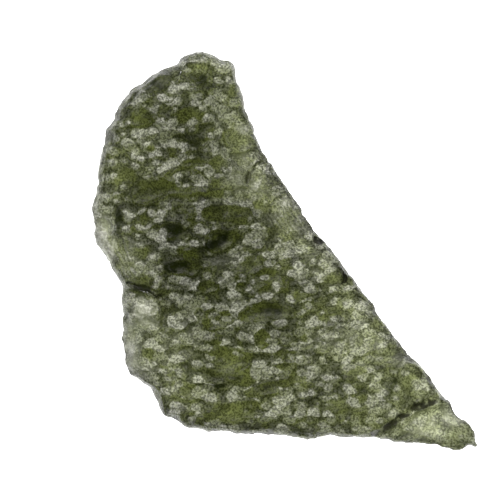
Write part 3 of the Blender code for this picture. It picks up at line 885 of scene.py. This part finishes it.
class Board:
    """A node tree that is being built."""

    def __init__(self, tree: bpy.types.NodeTree) -> None:
        """Empties the tree.

        Args:
            tree: The tree to build in.
        """
        self.tree = tree
        tree.nodes.clear()

    def add(self, kind: str, inputs: dict[int | str, Any] | None = None, **settings: Any) -> bpy.types.Node:
        """Places a node.

        Args:
            kind: Its type.
            inputs: Its inputs by name or number, each a value, or an output socket to link from.
            settings: Its own settings.

        Returns:
            The node.
        """
        node = self.tree.nodes.new(kind)
        for name, value in settings.items():
            setattr(node, name, value)
        for key, value in (inputs or {}).items():
            if isinstance(value, Socket):
                self.tree.links.new(value, node.inputs[key])
            else:
                node.inputs[key].default_value = value
        return node

    def math(self, operation: str, *values: Any) -> Socket:
        """The result of a Math node on values or sockets."""
        return self.add("ShaderNodeMath", dict(enumerate(values)), operation=operation).outputs[0]

    def times(self, first: Any, second: Any) -> Socket:
        """The product of two values or sockets."""
        return self.math("MULTIPLY", first, second)

    def rest(self, share: Any) -> Socket:
        """What the share leaves of 1."""
        return self.math("SUBTRACT", 1.0, share)

    def least(self, share: Any, low: float) -> Socket:
        """The share from 0 to 1 squeezed into the range from low to 1."""
        return self.math("MULTIPLY_ADD", share, 1.0 - low, low)

    def vector(self, operation: str, first: Any, second: Any) -> Socket:
        """The result of a Vector Math node on two vectors, or on a vector and a factor."""
        inputs = {0: first, "Scale" if operation == "SCALE" else 1: second}
        return self.add("ShaderNodeVectorMath", inputs, operation=operation).outputs[0]

    def spread(self, value: Any, before: Range, after: Range = (0.0, 1.0)) -> Socket:
        """The value moved from one range to another, with a gentle start and end.

        Args:
            value: The value or socket.
            before: The two ends that it has.
            after: The two ends that it gets.

        Returns:
            The moved value.
        """
        ends = {"From Min": before[0], "From Max": before[1], "To Min": after[0], "To Max": after[1]}
        moved = self.add("ShaderNodeMapRange", {"Value": value, **ends}, interpolation_type="SMOOTHSTEP")
        return moved.outputs["Result"]

    def dome(self, distance: Any, reach: float) -> Socket:
        """A round bump.

        Args:
            distance: How far each place is from its middle.
            reach: How far out it ends.

        Returns:
            1 at its top, and 0 from its reach on.
        """
        share = self.math("DIVIDE", distance, reach)
        values = {0: 1.0, 1: self.times(share, share)}
        return self.add("ShaderNodeMath", values, operation="SUBTRACT", use_clamp=True).outputs[0]

    def noise(self, place: Socket, size: float, bend: float = 0.0) -> Socket:
        """Fine noise.

        Args:
            place: Where it is read.
            size: The size of its grain.
            bend: How much it is distorted.

        Returns:
            The noise, about 0.5.
        """
        inputs = {"Vector": place, "Scale": 1 / size, "Detail": 1.0, "Distortion": bend}
        return self.add("ShaderNodeTexNoise", inputs).outputs["Fac"]

    def mask(self, mask: Mask) -> Socket:
        """A value that the mesh carries."""
        return self.add("ShaderNodeAttribute", attribute_name=mask.value).outputs["Fac"]


@dataclass(frozen=True)
class Etching:
    """The pebbled skin that etching left on the glass, made by Geometry Nodes. Sizes are metres."""

    pebble_length: float = 0.00104
    pebble_width: float = 0.00078
    pebble_depth: float = 0.00018
    pebble_reach: float = 0.80  # in cells
    lowest_pebble: float = 0.55  # of the highest
    grain_size: float = 0.00032
    grain_depth: float = 0.00005
    grain_reach: float = 0.85  # in cells
    least_crest: float = 0.7  # how much a pebble shows between its grains
    polished_share: float = 0.07  # of the full depth, in the pools
    randomness: float = 0.95
    wander: float = 0.00035
    wander_scale: float = 700.0  # drifts in a metre
    seed: float = 4.0

    def tree(self) -> bpy.types.NodeTree:
        """Builds the node tree, with its sizes as named inputs.

        Returns:
            The tree.
        """
        tree = bpy.data.node_groups.new("etched skin", "GeometryNodeTree")
        face = tree.interface
        face.new_socket("Geometry", in_out="INPUT", socket_type="NodeSocketGeometry")
        face.new_socket("Finish", in_out="INPUT", socket_type="NodeSocketMaterial")
        for name in self.inputs():
            face.new_socket(name, in_out="INPUT", socket_type="NodeSocketFloat")
        face.new_socket("Geometry", in_out="OUTPUT", socket_type="NodeSocketGeometry")
        board = Board(tree)
        given = board.add("NodeGroupInput").outputs
        place = self.wandering_place(board, given["Seed"], given["Wander"])
        pebble = self.pebbles(board, place, given["Pebble Length"], given["Pebble Width"])
        bead = self.grains(board, place, given["Grain Size"])
        gap = board.times(board.rest(pebble), given["Pebble Depth"])
        pit = board.times(board.rest(bead), given["Grain Depth"])
        named = {"Name": Mask.POLISH.value}
        polish = board.add("GeometryNodeInputNamedAttribute", named, data_type="FLOAT").outputs[0]
        cut = board.times(board.math("ADD", gap, pit), board.least(board.rest(polish), self.polished_share))
        normal = board.add("GeometryNodeInputNormal").outputs[0]
        offset = board.vector("SCALE", normal, board.times(cut, -1.0))
        crest = board.times(board.least(bead, self.least_crest), pebble)
        values = {"Geometry": given["Geometry"], "Name": Mask.PEBBLE.value, "Value": crest}
        stored = board.add("GeometryNodeStoreNamedAttribute", values, data_type="FLOAT", domain="POINT")
        etched = board.add("GeometryNodeSetPosition", {"Geometry": stored.outputs[0], "Offset": offset})
        real = board.add("GeometryNodeRealizeInstances", {"Geometry": etched.outputs[0]})
        values = {"Geometry": real.outputs[0], "Material": given["Finish"]}
        dressed = board.add("GeometryNodeSetMaterial", values)
        board.add("NodeGroupOutput", {"Geometry": dressed.outputs[0]})
        return tree

    def wandering_place(self, board: Board, seed: Socket, wander: Socket) -> Socket:
        """Each point's place, moved to the seed's part of the pattern and a little each way.

        Args:
            board: The tree.
            seed: How far the pattern is moved along X.
            wander: How far a place may stray.

        Returns:
            The moved place.
        """
        position = board.add("GeometryNodeInputPosition").outputs[0]
        shift = board.add("ShaderNodeCombineXYZ", {"X": seed}).outputs[0]
        moved = board.vector("ADD", position, shift)
        noise = {"Vector": moved, "Scale": self.wander_scale, "Detail": 1.0}
        colour = board.add("ShaderNodeTexNoise", noise).outputs["Color"]
        drift = board.vector("SCALE", board.vector("SUBTRACT", colour, (NOISE_MIDDLE,) * 3), wander)
        return board.vector("ADD", moved, drift)

    def pebbles(self, board: Board, place: Socket, length: Socket, width: Socket) -> Socket:
        """The pebbles, some lower than others.

        Args:
            board: The tree.
            place: Where they are read.
            length: Their size along X.
            width: Their size along Y and Z.

        Returns:
            Their height, from 0 to 1.
        """
        sizes = board.add("ShaderNodeCombineXYZ", {0: length, 1: width, 2: width}).outputs[0]
        cells = {"Vector": board.vector("DIVIDE", place, sizes), "Scale": 1.0, "Randomness": self.randomness}
        pebbles = board.add("ShaderNodeTexVoronoi", cells, feature="F1").outputs
        chance = board.add("ShaderNodeSeparateXYZ", {0: pebbles["Color"]}).outputs[0]
        dome = board.dome(pebbles["Distance"], self.pebble_reach)
        return board.times(dome, board.least(chance, self.lowest_pebble))

    def grains(self, board: Board, place: Socket, size: Socket) -> Socket:
        """The fine grains on and between the pebbles.

        Args:
            board: The tree.
            place: Where they are read.
            size: Their size.

        Returns:
            Their height, from 0 to 1.
        """
        cells = {"Vector": board.vector("SCALE", place, board.math("DIVIDE", 1.0, size)), "Scale": 1.0}
        grains = board.add("ShaderNodeTexVoronoi", cells, feature="F1")
        return board.dome(grains.outputs["Distance"], self.grain_reach)

    def inputs(self) -> dict[str, float]:
        """The tree's own inputs.

        Returns:
            Their values by name.
        """
        return {
            "Pebble Length": self.pebble_length,
            "Pebble Width": self.pebble_width,
            "Pebble Depth": self.pebble_depth,
            "Grain Size": self.grain_size,
            "Grain Depth": self.grain_depth,
            "Wander": self.wander,
            "Seed": self.seed,
        }

    def apply(self, piece: bpy.types.Object, finish: bpy.types.Material) -> bpy.types.Mesh:
        """Etches the piece's mesh.

        Args:
            piece: The smooth piece, with its polish attribute.
            finish: The material that the tree sets.

        Returns:
            The etched mesh, with nothing live on it.
        """
        modifier = piece.modifiers.new("etching", "NODES")
        modifier.node_group = self.tree()
        values = {"Finish": finish, **self.inputs()}
        for socket in modifier.node_group.interface.items_tree:
            if socket.in_out == "INPUT" and socket.name in values:
                modifier[socket.identifier] = values[socket.name]
        graph = bpy.context.evaluated_depsgraph_get()
        etched = bpy.data.meshes.new_from_object(piece.evaluated_get(graph), depsgraph=graph)
        piece.modifiers.remove(modifier)
        return etched


@dataclass(frozen=True)
class Marks:
    """What the glass reads at each place: the mesh's masks and the fine texture, each from 0 to 1."""

    polish: Socket
    rough: Socket
    # painted shade in the cracks and creases
    painted_crease_shade: Socket
    # painted shade in broad patches
    painted_shade: Socket
    # frost, with painted highlight in the colour
    frost_and_highlight: Socket
    bloom: Socket
    pebble: Socket
    vein: Socket
    mottle: Socket
    speck: Socket


@dataclass(frozen=True)
class GlassFinish:
    """The look of the green glass. Absorption is per metre, and sizes are metres."""

    ior: float = 1.49
    specular: float = 0.12
    absorption: Tint = (440.0, 418.0, 640.0)
    clear_tint: Tint = (0.95, 0.99, 0.80)
    # the dark end of the colour: painted shade in the gaps, the patches and the pools, and the darker mottle
    # and veins
    shade_and_grain_tint: Tint = (0.010, 0.014, 0.003)
    # painted shade in the cracks and creases
    crease_shade_tint: Tint = (0.006, 0.006, 0.005)
    pool_roughness: float = 0.30
    pebble_roughness: float = 0.40
    vein_size: float = 0.00028
    vein_bend: float = 0.6
    vein_width: float = 0.06  # how far from the noise's middle a vein ends
    mottle_size: float = 0.00018
    mottle_range: Range = (0.38, 0.62)
    speck_low: float = 0.35  # how much of a frosted crest is left between its specks
    frost: float = 1.0
    frost_roughness: float = 0.7
    frost_ior: float = 3.0
    frosted_height: Range = (0.64, 0.84)  # the heights on a pebble where frost begins and is full
    bareness_lift: float = 0.55  # how much more of a pebble is frosted where the skin is bare
    full_bareness: float = 0.35
    crest_frost: float = 0.58
    highlight_patch_low: float = 0.2
    film: float = 0.12
    # painted shade in the gaps between the pebbles
    gap_height: Range = (0.38, 0.14)  # the heights on a pebble where its gap begins and is darkest
    gap_shade: float = 0.12
    gap_shade_rough: float = 0.70
    mottle_shade: float = 0.84
    mottle_shade_rough: float = 0.05
    pool_shade: float = 0.12
    vein_low: float = 0.7
    # the painted highlight in the pale patches
    painted_highlight_base: float = 0.34
    painted_highlight_speck: float = 0.36
    fine_depth: float = 0.00004
    mottle_height: float = 0.55
    vein_height: float = 0.45
    polished_bump: float = 0.2

    def marks(self, board: Board) -> Marks:
        """Reads the mesh's masks and makes the fine texture.

        Args:
            board: The material's tree.

        Returns:
            What the rest of the finish is made from.
        """
        place = board.add("ShaderNodeTexCoord").outputs["Object"]
        folds = board.noise(place, self.vein_size, self.vein_bend)
        fold = board.math("ABSOLUTE", board.math("SUBTRACT", folds, NOISE_MIDDLE))
        vein = board.spread(fold, (0.0, self.vein_width))
        mottle = board.spread(board.noise(place, self.mottle_size), self.mottle_range)
        polish = board.mask(Mask.POLISH)
        return Marks(
            polish=polish,
            rough=board.rest(polish),
            painted_crease_shade=board.mask(Mask.PAINTED_CREASE_SHADE),
            painted_shade=board.mask(Mask.PAINTED_SHADE),
            frost_and_highlight=board.mask(Mask.FROST_AND_HIGHLIGHT),
            bloom=board.mask(Mask.BLOOM),
            pebble=board.mask(Mask.PEBBLE),
            vein=vein,
            mottle=mottle,
            speck=board.times(board.least(vein, self.speck_low), board.least(mottle, self.speck_low)),
        )

    def coat(self, board: Board, marks: Marks) -> Socket:
        """The grey frost: on the crests of bare pebbles, in the patches painted pale as highlights, and as a
        thin film. Painted crease shade takes it away.

        Args:
            board: The material's tree.
            marks: What the glass reads.

        Returns:
            How much frost lies at each place.
        """
        bare = board.times(marks.rough, marks.bloom)
        height = board.math("MULTIPLY_ADD", bare, self.bareness_lift, marks.pebble)
        crest = board.times(
            board.spread(height, self.frosted_height),
            board.spread(bare, (0.0, self.full_bareness), (0.0, self.crest_frost)),
        )
        highlight_patch = board.times(marks.frost_and_highlight, board.least(marks.speck, self.highlight_patch_low))
        frost = board.math("MAXIMUM", board.times(crest, marks.speck), highlight_patch)
        # the frost film is thinner under the painted shade
        unshaded = board.math("MULTIPLY_ADD", marks.painted_shade, -self.film, self.film)
        film = board.times(board.times(marks.mottle, marks.rough), unshaded)
        # the painted crease shade takes the frost away
        outside_creases = board.math("SUBTRACT", self.frost, marks.painted_crease_shade)
        return board.times(board.math("MAXIMUM", frost, film), outside_creases)

    def tint(self, board: Board, marks: Marks) -> Socket:
        """The colour of the glass: painted shade in the gaps between pebbles, in the broad shade patches, in
        the pools and in the cracks, darker mottle and veins, and painted highlight in the pale patches.

        Args:
            board: The material's tree.
            marks: What the glass reads.

        Returns:
            The colour at each place.
        """
        # painted shade in the gaps between the pebbles
        gap = board.times(
            board.spread(marks.pebble, self.gap_height),
            board.math("MULTIPLY_ADD", marks.rough, self.gap_shade_rough, self.gap_shade),
        )
        # painted shade in broad patches
        light = board.times(board.rest(gap), board.rest(marks.painted_shade))
        depth = board.math("MULTIPLY_ADD", marks.rough, self.mottle_shade_rough, self.mottle_shade)
        unmottled = board.math("SUBTRACT", marks.mottle, 1.0)
        light = board.times(light, board.math("MULTIPLY_ADD", depth, unmottled, 1.0))
        # painted shade in the pools
        light = board.times(light, board.math("MULTIPLY_ADD", marks.polish, -self.pool_shade, 1.0))
        light = board.times(light, board.least(marks.vein, self.vein_low))
        # painted highlight in the pale patches
        highlight_patch = board.math("MULTIPLY_ADD", marks.speck, self.painted_highlight_speck, self.painted_highlight_base)
        light = board.math("MAXIMUM", light, board.times(marks.frost_and_highlight, highlight_patch))
        colour = self.mixed(board, board.rest(light), (*self.clear_tint, 1), self.shade_and_grain_tint)
        # painted shade in the cracks and creases
        return self.mixed(board, marks.painted_crease_shade, colour, self.crease_shade_tint)

    def mixed(self, board: Board, share: Socket, first: Any, second: Tint) -> Socket:
        """A colour between two.

        Args:
            board: The material's tree.
            share: How much it has of the second.
            first: The first, a colour or a socket.
            second: The second.

        Returns:
            The mixed colour.
        """
        # the node's colours are its inputs 6 and 7 and its output 2
        node = board.add("ShaderNodeMix", {0: share, 6: first, 7: (*second, 1)}, data_type="RGBA")
        return node.outputs[2]

    def bump(self, board: Board, marks: Marks) -> Socket:
        """The finest grain, which is too small for the mesh.

        Args:
            board: The material's tree.
            marks: What the glass reads.

        Returns:
            The normal at each place.
        """
        veins = board.times(marks.vein, self.vein_height)
        height = board.math("MULTIPLY_ADD", marks.mottle, self.mottle_height, veins)
        height = board.times(height, board.least(marks.rough, self.polished_bump))
        return board.add("ShaderNodeBump", {"Distance": self.fine_depth, "Height": height}).outputs[0]

    def material(self) -> bpy.types.Material:
        """Builds the material.

        Returns:
            The material.
        """
        material = bpy.data.materials.new("etched_green_glass")
        material.use_nodes = True
        board = Board(material.node_tree)
        marks = self.marks(board)
        roughness = board.spread(marks.polish, (0.0, 1.0), (self.pebble_roughness, self.pool_roughness))
        shader = board.add(
            "ShaderNodeBsdfPrincipled",
            {
                "Base Color": self.tint(board, marks),
                "Roughness": roughness,
                "IOR": self.ior,
                "Specular Tint": (*(self.specular,) * 3, 1),
                "Metallic": 0.0,
                "Transmission Weight": 1.0,
                "Coat Weight": self.coat(board, marks),
                "Coat Roughness": self.frost_roughness,
                "Coat IOR": self.frost_ior,
                "Normal": self.bump(board, marks),
            },
        )
        density = max(self.absorption)
        colour = tuple(1 - share / density for share in self.absorption)
        volume = board.add("ShaderNodeVolumeAbsorption", {"Color": (*colour, 1), "Density": density})
        board.add("ShaderNodeOutputMaterial", {"Surface": shader.outputs[0], "Volume": volume.outputs[0]})
        return material


@dataclass
class Stone:
    """The dressed stone: a fine mesh of both faces, sewn along the outline, etched and given its glass."""

    outline: Outline = field(default_factory=Outline)
    skin: Skin = field(default_factory=Skin)
    etching: Etching = field(default_factory=Etching)
    finish: GlassFinish = field(default_factory=GlassFinish)
    upper_spacing: float = 0.112
    lower_spacing: float = 0.165
    edge_spacing: float = 0.12
    edge_steps: int = 5
    ring_depths: tuple[float, ...] = (0.012, 0.05, 0.11)
    ring_clearance: float = 0.45  # in spacings
    merge_distance: float = 1e-5

    def inner_points(self, edge: Array, spacing: float) -> Array:
        """The points of one face inside the outline: rings close to it, then a triangular lattice.

        Args:
            edge: The outline.
            spacing: The distance between the lattice's points.

        Returns:
            The points, one row each.
        """
        rings = [edge + inward(edge) * depth for depth in self.ring_depths]
        low, high = edge.min(axis=0), edge.max(axis=0)
        lines = []
        ahead = np.roll(edge, -1, axis=0)
        for k, y in enumerate(np.arange(low[1], high[1], spacing * ROW_SHARE)):
            x = np.arange(low[0] + (k % 2) * spacing / 2, high[0], spacing)
            spans = (edge[:, 1] > y) != (ahead[:, 1] > y)
            start, end = edge[spans], ahead[spans]
            meets = np.sort(start[:, 0] + (y - start[:, 1]) * (end - start)[:, 0] / (end - start)[:, 1])
            x = x[np.searchsorted(meets, x) % 2 == 1]
            lines.append(np.column_stack((x, np.full(len(x), y))))
        lattice = np.vstack(lines)
        clearance = self.ring_depths[-1] + self.ring_clearance * spacing
        return np.vstack((*rings, lattice[self.depth_inside(lattice, edge) > clearance]))

    def depth_inside(self, points: Array, edge: Array) -> Array:
        """How far each point is from the outline, read from points set closely along it.

        Args:
            points: Places seen from above, one row each.
            edge: The outline.

        Returns:
            The distance of each point.
        """
        way = np.roll(edge, -1, axis=0) - edge
        dense = np.vstack([edge + way * (step / self.edge_steps) for step in range(self.edge_steps)])
        tree = KDTree(len(dense))
        for k, (x, y) in enumerate(dense):
            tree.insert((x, y, 0.0), k)
        tree.balance()
        return np.array([tree.find((x, y, 0.0))[2] for x, y in points])

    def sheet(self, edge: Array, spacing: float, is_upper: bool) -> tuple[Array, Array, Array]:
        """One face as points in space and triangles that look outwards.

        Args:
            edge: The outline, whose points come first.
            spacing: The distance between the points inside it.
            is_upper: Whether it is the upper face.

        Returns:
            The points and the triangles, one row each, and how far each point is inside the outline.
        """
        flat = np.vstack((edge, self.inner_points(edge, spacing)))
        ring = [(k, (k + 1) % len(edge)) for k in range(len(edge))]
        inside_only = 1
        made, _, faces, origins, _, _ = delaunay_2d_cdt(
            [Vector(point) for point in flat], ring, [], inside_only, self.merge_distance
        )
        source = np.array([origin[0] for origin in origins])
        if len(made) != len(flat):
            LOG.warning("the outline crosses a ring: %d points became %d", len(flat), len(made))
        inside = self.depth_inside(flat, edge)
        inside[: len(edge)] = 0
        height = self.skin.relief.heights(flat, inside, is_upper)
        triangles = source[np.array([list(face) for face in faces])]
        return np.column_stack((flat, height)), triangles if is_upper else triangles[:, ::-1], inside

    def mesh(self) -> bpy.types.Mesh:
        """The whole stone as one closed smooth mesh in metres, with what its etching and its finish read.

        Returns:
            The mesh.
        """
        edge = self.outline.line(self.edge_spacing)
        top, top_faces, top_inside = self.sheet(edge, self.upper_spacing, True)
        bottom, bottom_faces, bottom_inside = self.sheet(edge, self.lower_spacing, False)
        # both faces share the outline's points, which come first in each
        shared = len(edge)
        moved = np.where(bottom_faces < shared, bottom_faces, bottom_faces - shared + len(top))
        points = np.vstack((top, bottom[shared:]))
        faces = np.vstack((top_faces, moved))
        used = np.unique(faces)
        place = np.full(len(points), -1)
        place[used] = np.arange(len(used))
        mesh = bpy.data.meshes.new("smooth stone")
        mesh.from_pydata((points[used] * MM).tolist(), [], place[faces].tolist())
        inside = np.concatenate((top_inside, bottom_inside[shared:]))[used]
        masks = self.skin.masks(*points[used, :2].T, inside, used < len(top))
        for mask, values in masks.items():
            attribute = mesh.attributes.new(mask.value, "FLOAT", "POINT")
            attribute.data.foreach_set("value", values.astype(np.float32))
        mesh.shade_smooth()
        return mesh

    def fit(self, mesh: bpy.types.Mesh) -> None:
        """Scales the mesh by a hair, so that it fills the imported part's box and no more.

        Args:
            mesh: The etched mesh.
        """
        flat = np.empty(3 * len(mesh.vertices), dtype=np.float32)
        mesh.vertices.foreach_get("co", flat)
        points = flat.reshape(-1, 3).astype(float)
        low, high = (np.array(corner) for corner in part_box(NODE))
        own_low, own_high = points.min(axis=0), points.max(axis=0)
        points = (points - own_low) * (high - low) / (own_high - own_low) + low
        mesh.vertices.foreach_set("co", points.astype(np.float32).ravel())
        mesh.update()
        LOG.info("fitted by %s", np.round((high - low) / (own_high - own_low), 4))

    def build(self) -> bpy.types.Object:
        """Makes the stone and puts it in the scene.

        Returns:
            The finished piece.
        """
        smooth = bpy.data.objects.new("smooth_stone", self.mesh())
        bpy.context.scene.collection.objects.link(smooth)
        etched = self.etching.apply(smooth, self.finish.material())
        bpy.data.objects.remove(smooth)
        self.fit(etched)
        piece = bpy.data.objects.new("etched_stone", etched)
        bpy.context.scene.collection.objects.link(piece)
        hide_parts(NODE)
        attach(piece, "root")
        LOG.info("etched_stone: %d triangles", len(etched.polygons))
        return piece


@dataclass(frozen=True)
class Lamp:
    """A square soft light that leans from straight up by two angles in degrees.

    Sizes are metres, and radiance is what a surface facing it sees.
    """

    name: str
    lean_x: float
    lean_y: float
    distance: float
    size: float
    radiance: float
    colour: Tint

    def build(self) -> bpy.types.Object:
        """Hangs the light over the stone.

        Returns:
            The light.
        """
        data = bpy.data.lights.new(self.name, "AREA")
        data.shape = "SQUARE"
        data.size = self.size
        data.energy = self.radiance * np.pi * self.size**2
        data.color = self.colour
        lamp = bpy.data.objects.new(self.name, data)
        way = Vector((np.tan(np.radians(self.lean_x)), np.tan(np.radians(self.lean_y)), 1.0)).normalized()
        lamp.location = way * self.distance
        lamp.rotation_mode = "QUATERNION"
        lamp.rotation_quaternion = way.to_track_quat("Z", "Y")
        bpy.context.scene.collection.objects.link(lamp)
        return lamp


@dataclass(frozen=True)
class Studio:
    """The pale table, the soft light and the camera. Sizes are metres, the lens and sensor millimetres."""

    floor_size: float = 3.0
    floor_glow: float = 2.15
    floor_albedo: float = 0.25
    floor_roughness: float = 0.9
    overhead_light: float = 0.06
    side_light: float = 0.30
    light_rise: Range = (0.35, 0.9)  # how high up the sides end and the overhead begins
    lens: float = 250.0
    sensor: float = 36.0
    seen_width: float = 0.045
    camera_x: float = -0.0031
    camera_y: float = 0.0001
    focus_height: float = 0.0045
    clip: Range = (0.01, 10.0)
    lamps: tuple[Lamp, ...] = (
        Lamp("key_light", -13.0, 34.0, 0.45, 0.34, 17.0, (1.0, 0.99, 0.90)),
    )

    def floor(self) -> bpy.types.Object:
        """The white table top, which glows a little so that the stone is lit from below.

        Returns:
            The table.
        """
        half = self.floor_size / 2
        corners = [(-half, -half, 0), (half, -half, 0), (half, half, 0), (-half, half, 0)]
        mesh = bpy.data.meshes.new("table")
        mesh.from_pydata(corners, [], [(0, 1, 2, 3)])
        material = bpy.data.materials.new("white_table")
        material.use_nodes = True
        inputs = material.node_tree.nodes["Principled BSDF"].inputs
        inputs["Base Color"].default_value = (self.floor_albedo,) * 3 + (1,)
        inputs["Roughness"].default_value = self.floor_roughness
        inputs["Specular IOR Level"].default_value = 0.0
        inputs["Emission Color"].default_value = (1, 1, 1, 1)
        inputs["Emission Strength"].default_value = self.floor_glow
        mesh.materials.append(material)
        floor = bpy.data.objects.new("table", mesh)
        bpy.context.scene.collection.objects.link(floor)
        return floor

    def surroundings(self) -> None:
        """A plain studio: white behind, grey to the sides and darker straight above, as under a camera."""
        world = bpy.data.worlds.new("studio")
        world.use_nodes = True
        bpy.context.scene.world = world
        board = Board(world.node_tree)
        way = board.add("ShaderNodeTexCoord").outputs["Generated"]
        up = board.add("ShaderNodeSeparateXYZ", {0: way}).outputs["Z"]
        grey = board.spread(up, self.light_rise, (self.side_light, self.overhead_light))
        seen = board.add("ShaderNodeLightPath").outputs["Is Camera Ray"]
        level = board.math("MAXIMUM", grey, seen)
        backdrop = board.add("ShaderNodeBackground", {"Color": level, "Strength": 1.0})
        board.add("ShaderNodeOutputWorld", {"Surface": backdrop.outputs[0]})

    def camera(self) -> bpy.types.Object:
        """The camera that looks straight down, with the head of the stone at the top of the picture.

        Returns:
            The camera.
        """
        data = bpy.data.cameras.new("camera")
        data.lens = self.lens
        data.sensor_width = self.sensor
        data.clip_start, data.clip_end = self.clip
        camera = bpy.data.objects.new("camera", data)
        away = self.seen_width * self.lens / self.sensor
        camera.location = (self.camera_x, self.camera_y, self.focus_height + away)
        bpy.context.scene.collection.objects.link(camera)
        bpy.context.scene.camera = camera
        return camera

    def build(self) -> None:
        """Sets the whole stage."""
        self.camera()
        self.floor()
        self.surroundings()
        for lamp in self.lamps:
            lamp.build()
        bpy.context.scene.view_settings.view_transform = "Standard"
        LOG.info("studio: floor, camera and %d lights", len(self.lamps))


def main() -> None:
    """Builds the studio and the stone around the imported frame."""
    logging.basicConfig(level=logging.INFO, format="%(name)s: %(message)s")
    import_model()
    Studio().build()
    Stone().build()


if __name__ == "__main__":
    main()
